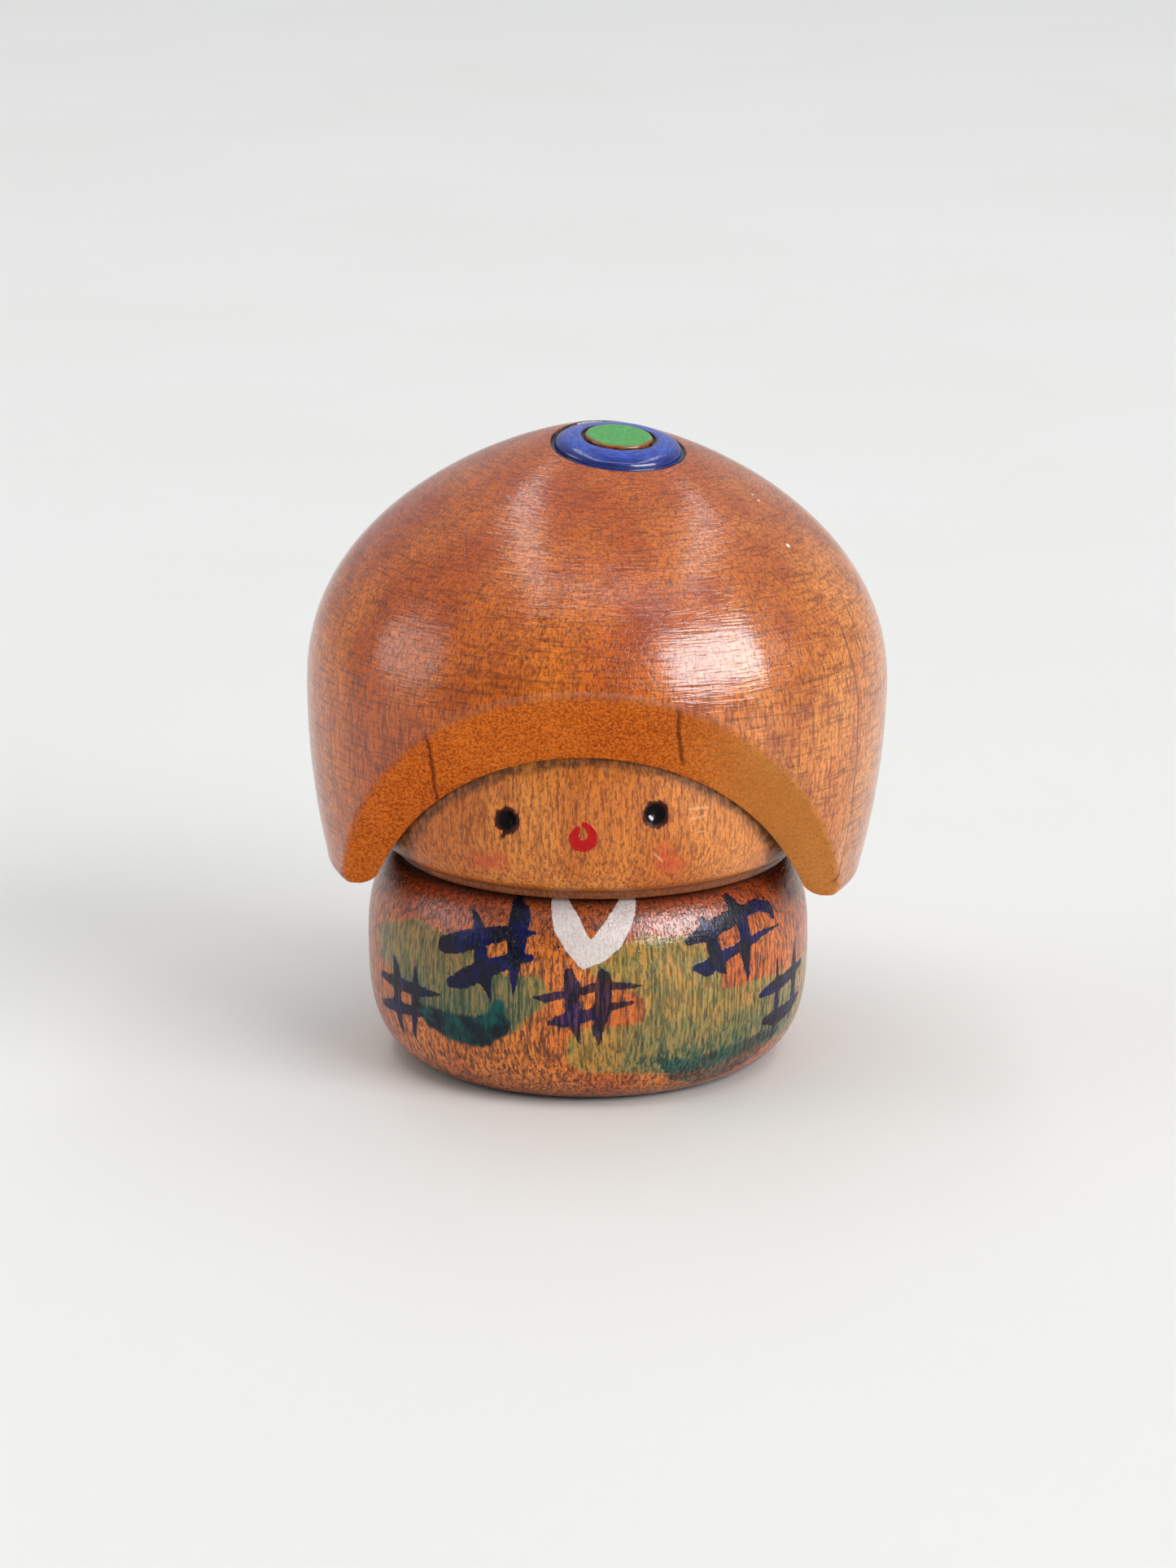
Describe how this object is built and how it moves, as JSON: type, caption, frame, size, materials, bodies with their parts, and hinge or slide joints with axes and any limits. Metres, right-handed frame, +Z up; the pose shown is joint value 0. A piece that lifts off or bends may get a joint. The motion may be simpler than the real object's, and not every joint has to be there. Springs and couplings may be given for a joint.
{
  "type": "wooden doll",
  "caption": "Small turned wooden doll: squat barrel body, round head with a painted face, and a bell-shaped hood with a slanting front cut; the head turns on its neck.",
  "frame": {"origin": "centre of the flat foot, on the surface that the doll stands on", "axes": "+Z up through the body, the face looks along -Y, and the doll's left is along +X"},
  "size_m": [0.05, 0.0495, 0.0556],
  "materials": {
    "body_wood": "clear varnish over painted strokes",
    "dowel_wood": "bare",
    "head_wood": "thin clear varnish over a painted face",
    "hood_wood": "glossy clear varnish; the front cut is matte"
  },
  "bodies": {
    "base": {"body": "body_wood"},
    "head": {"neck_dowel": "dowel_wood", "head": "head_wood", "hood": "hood_wood"}
  },
  "joints": [
    {"name": "neck_turn", "type": "hinge", "parent": "base", "child": "head", "pos_m": [0.0005, 0, 0.0184], "axis": [0, 0, 1], "continuous": true}
  ]
}
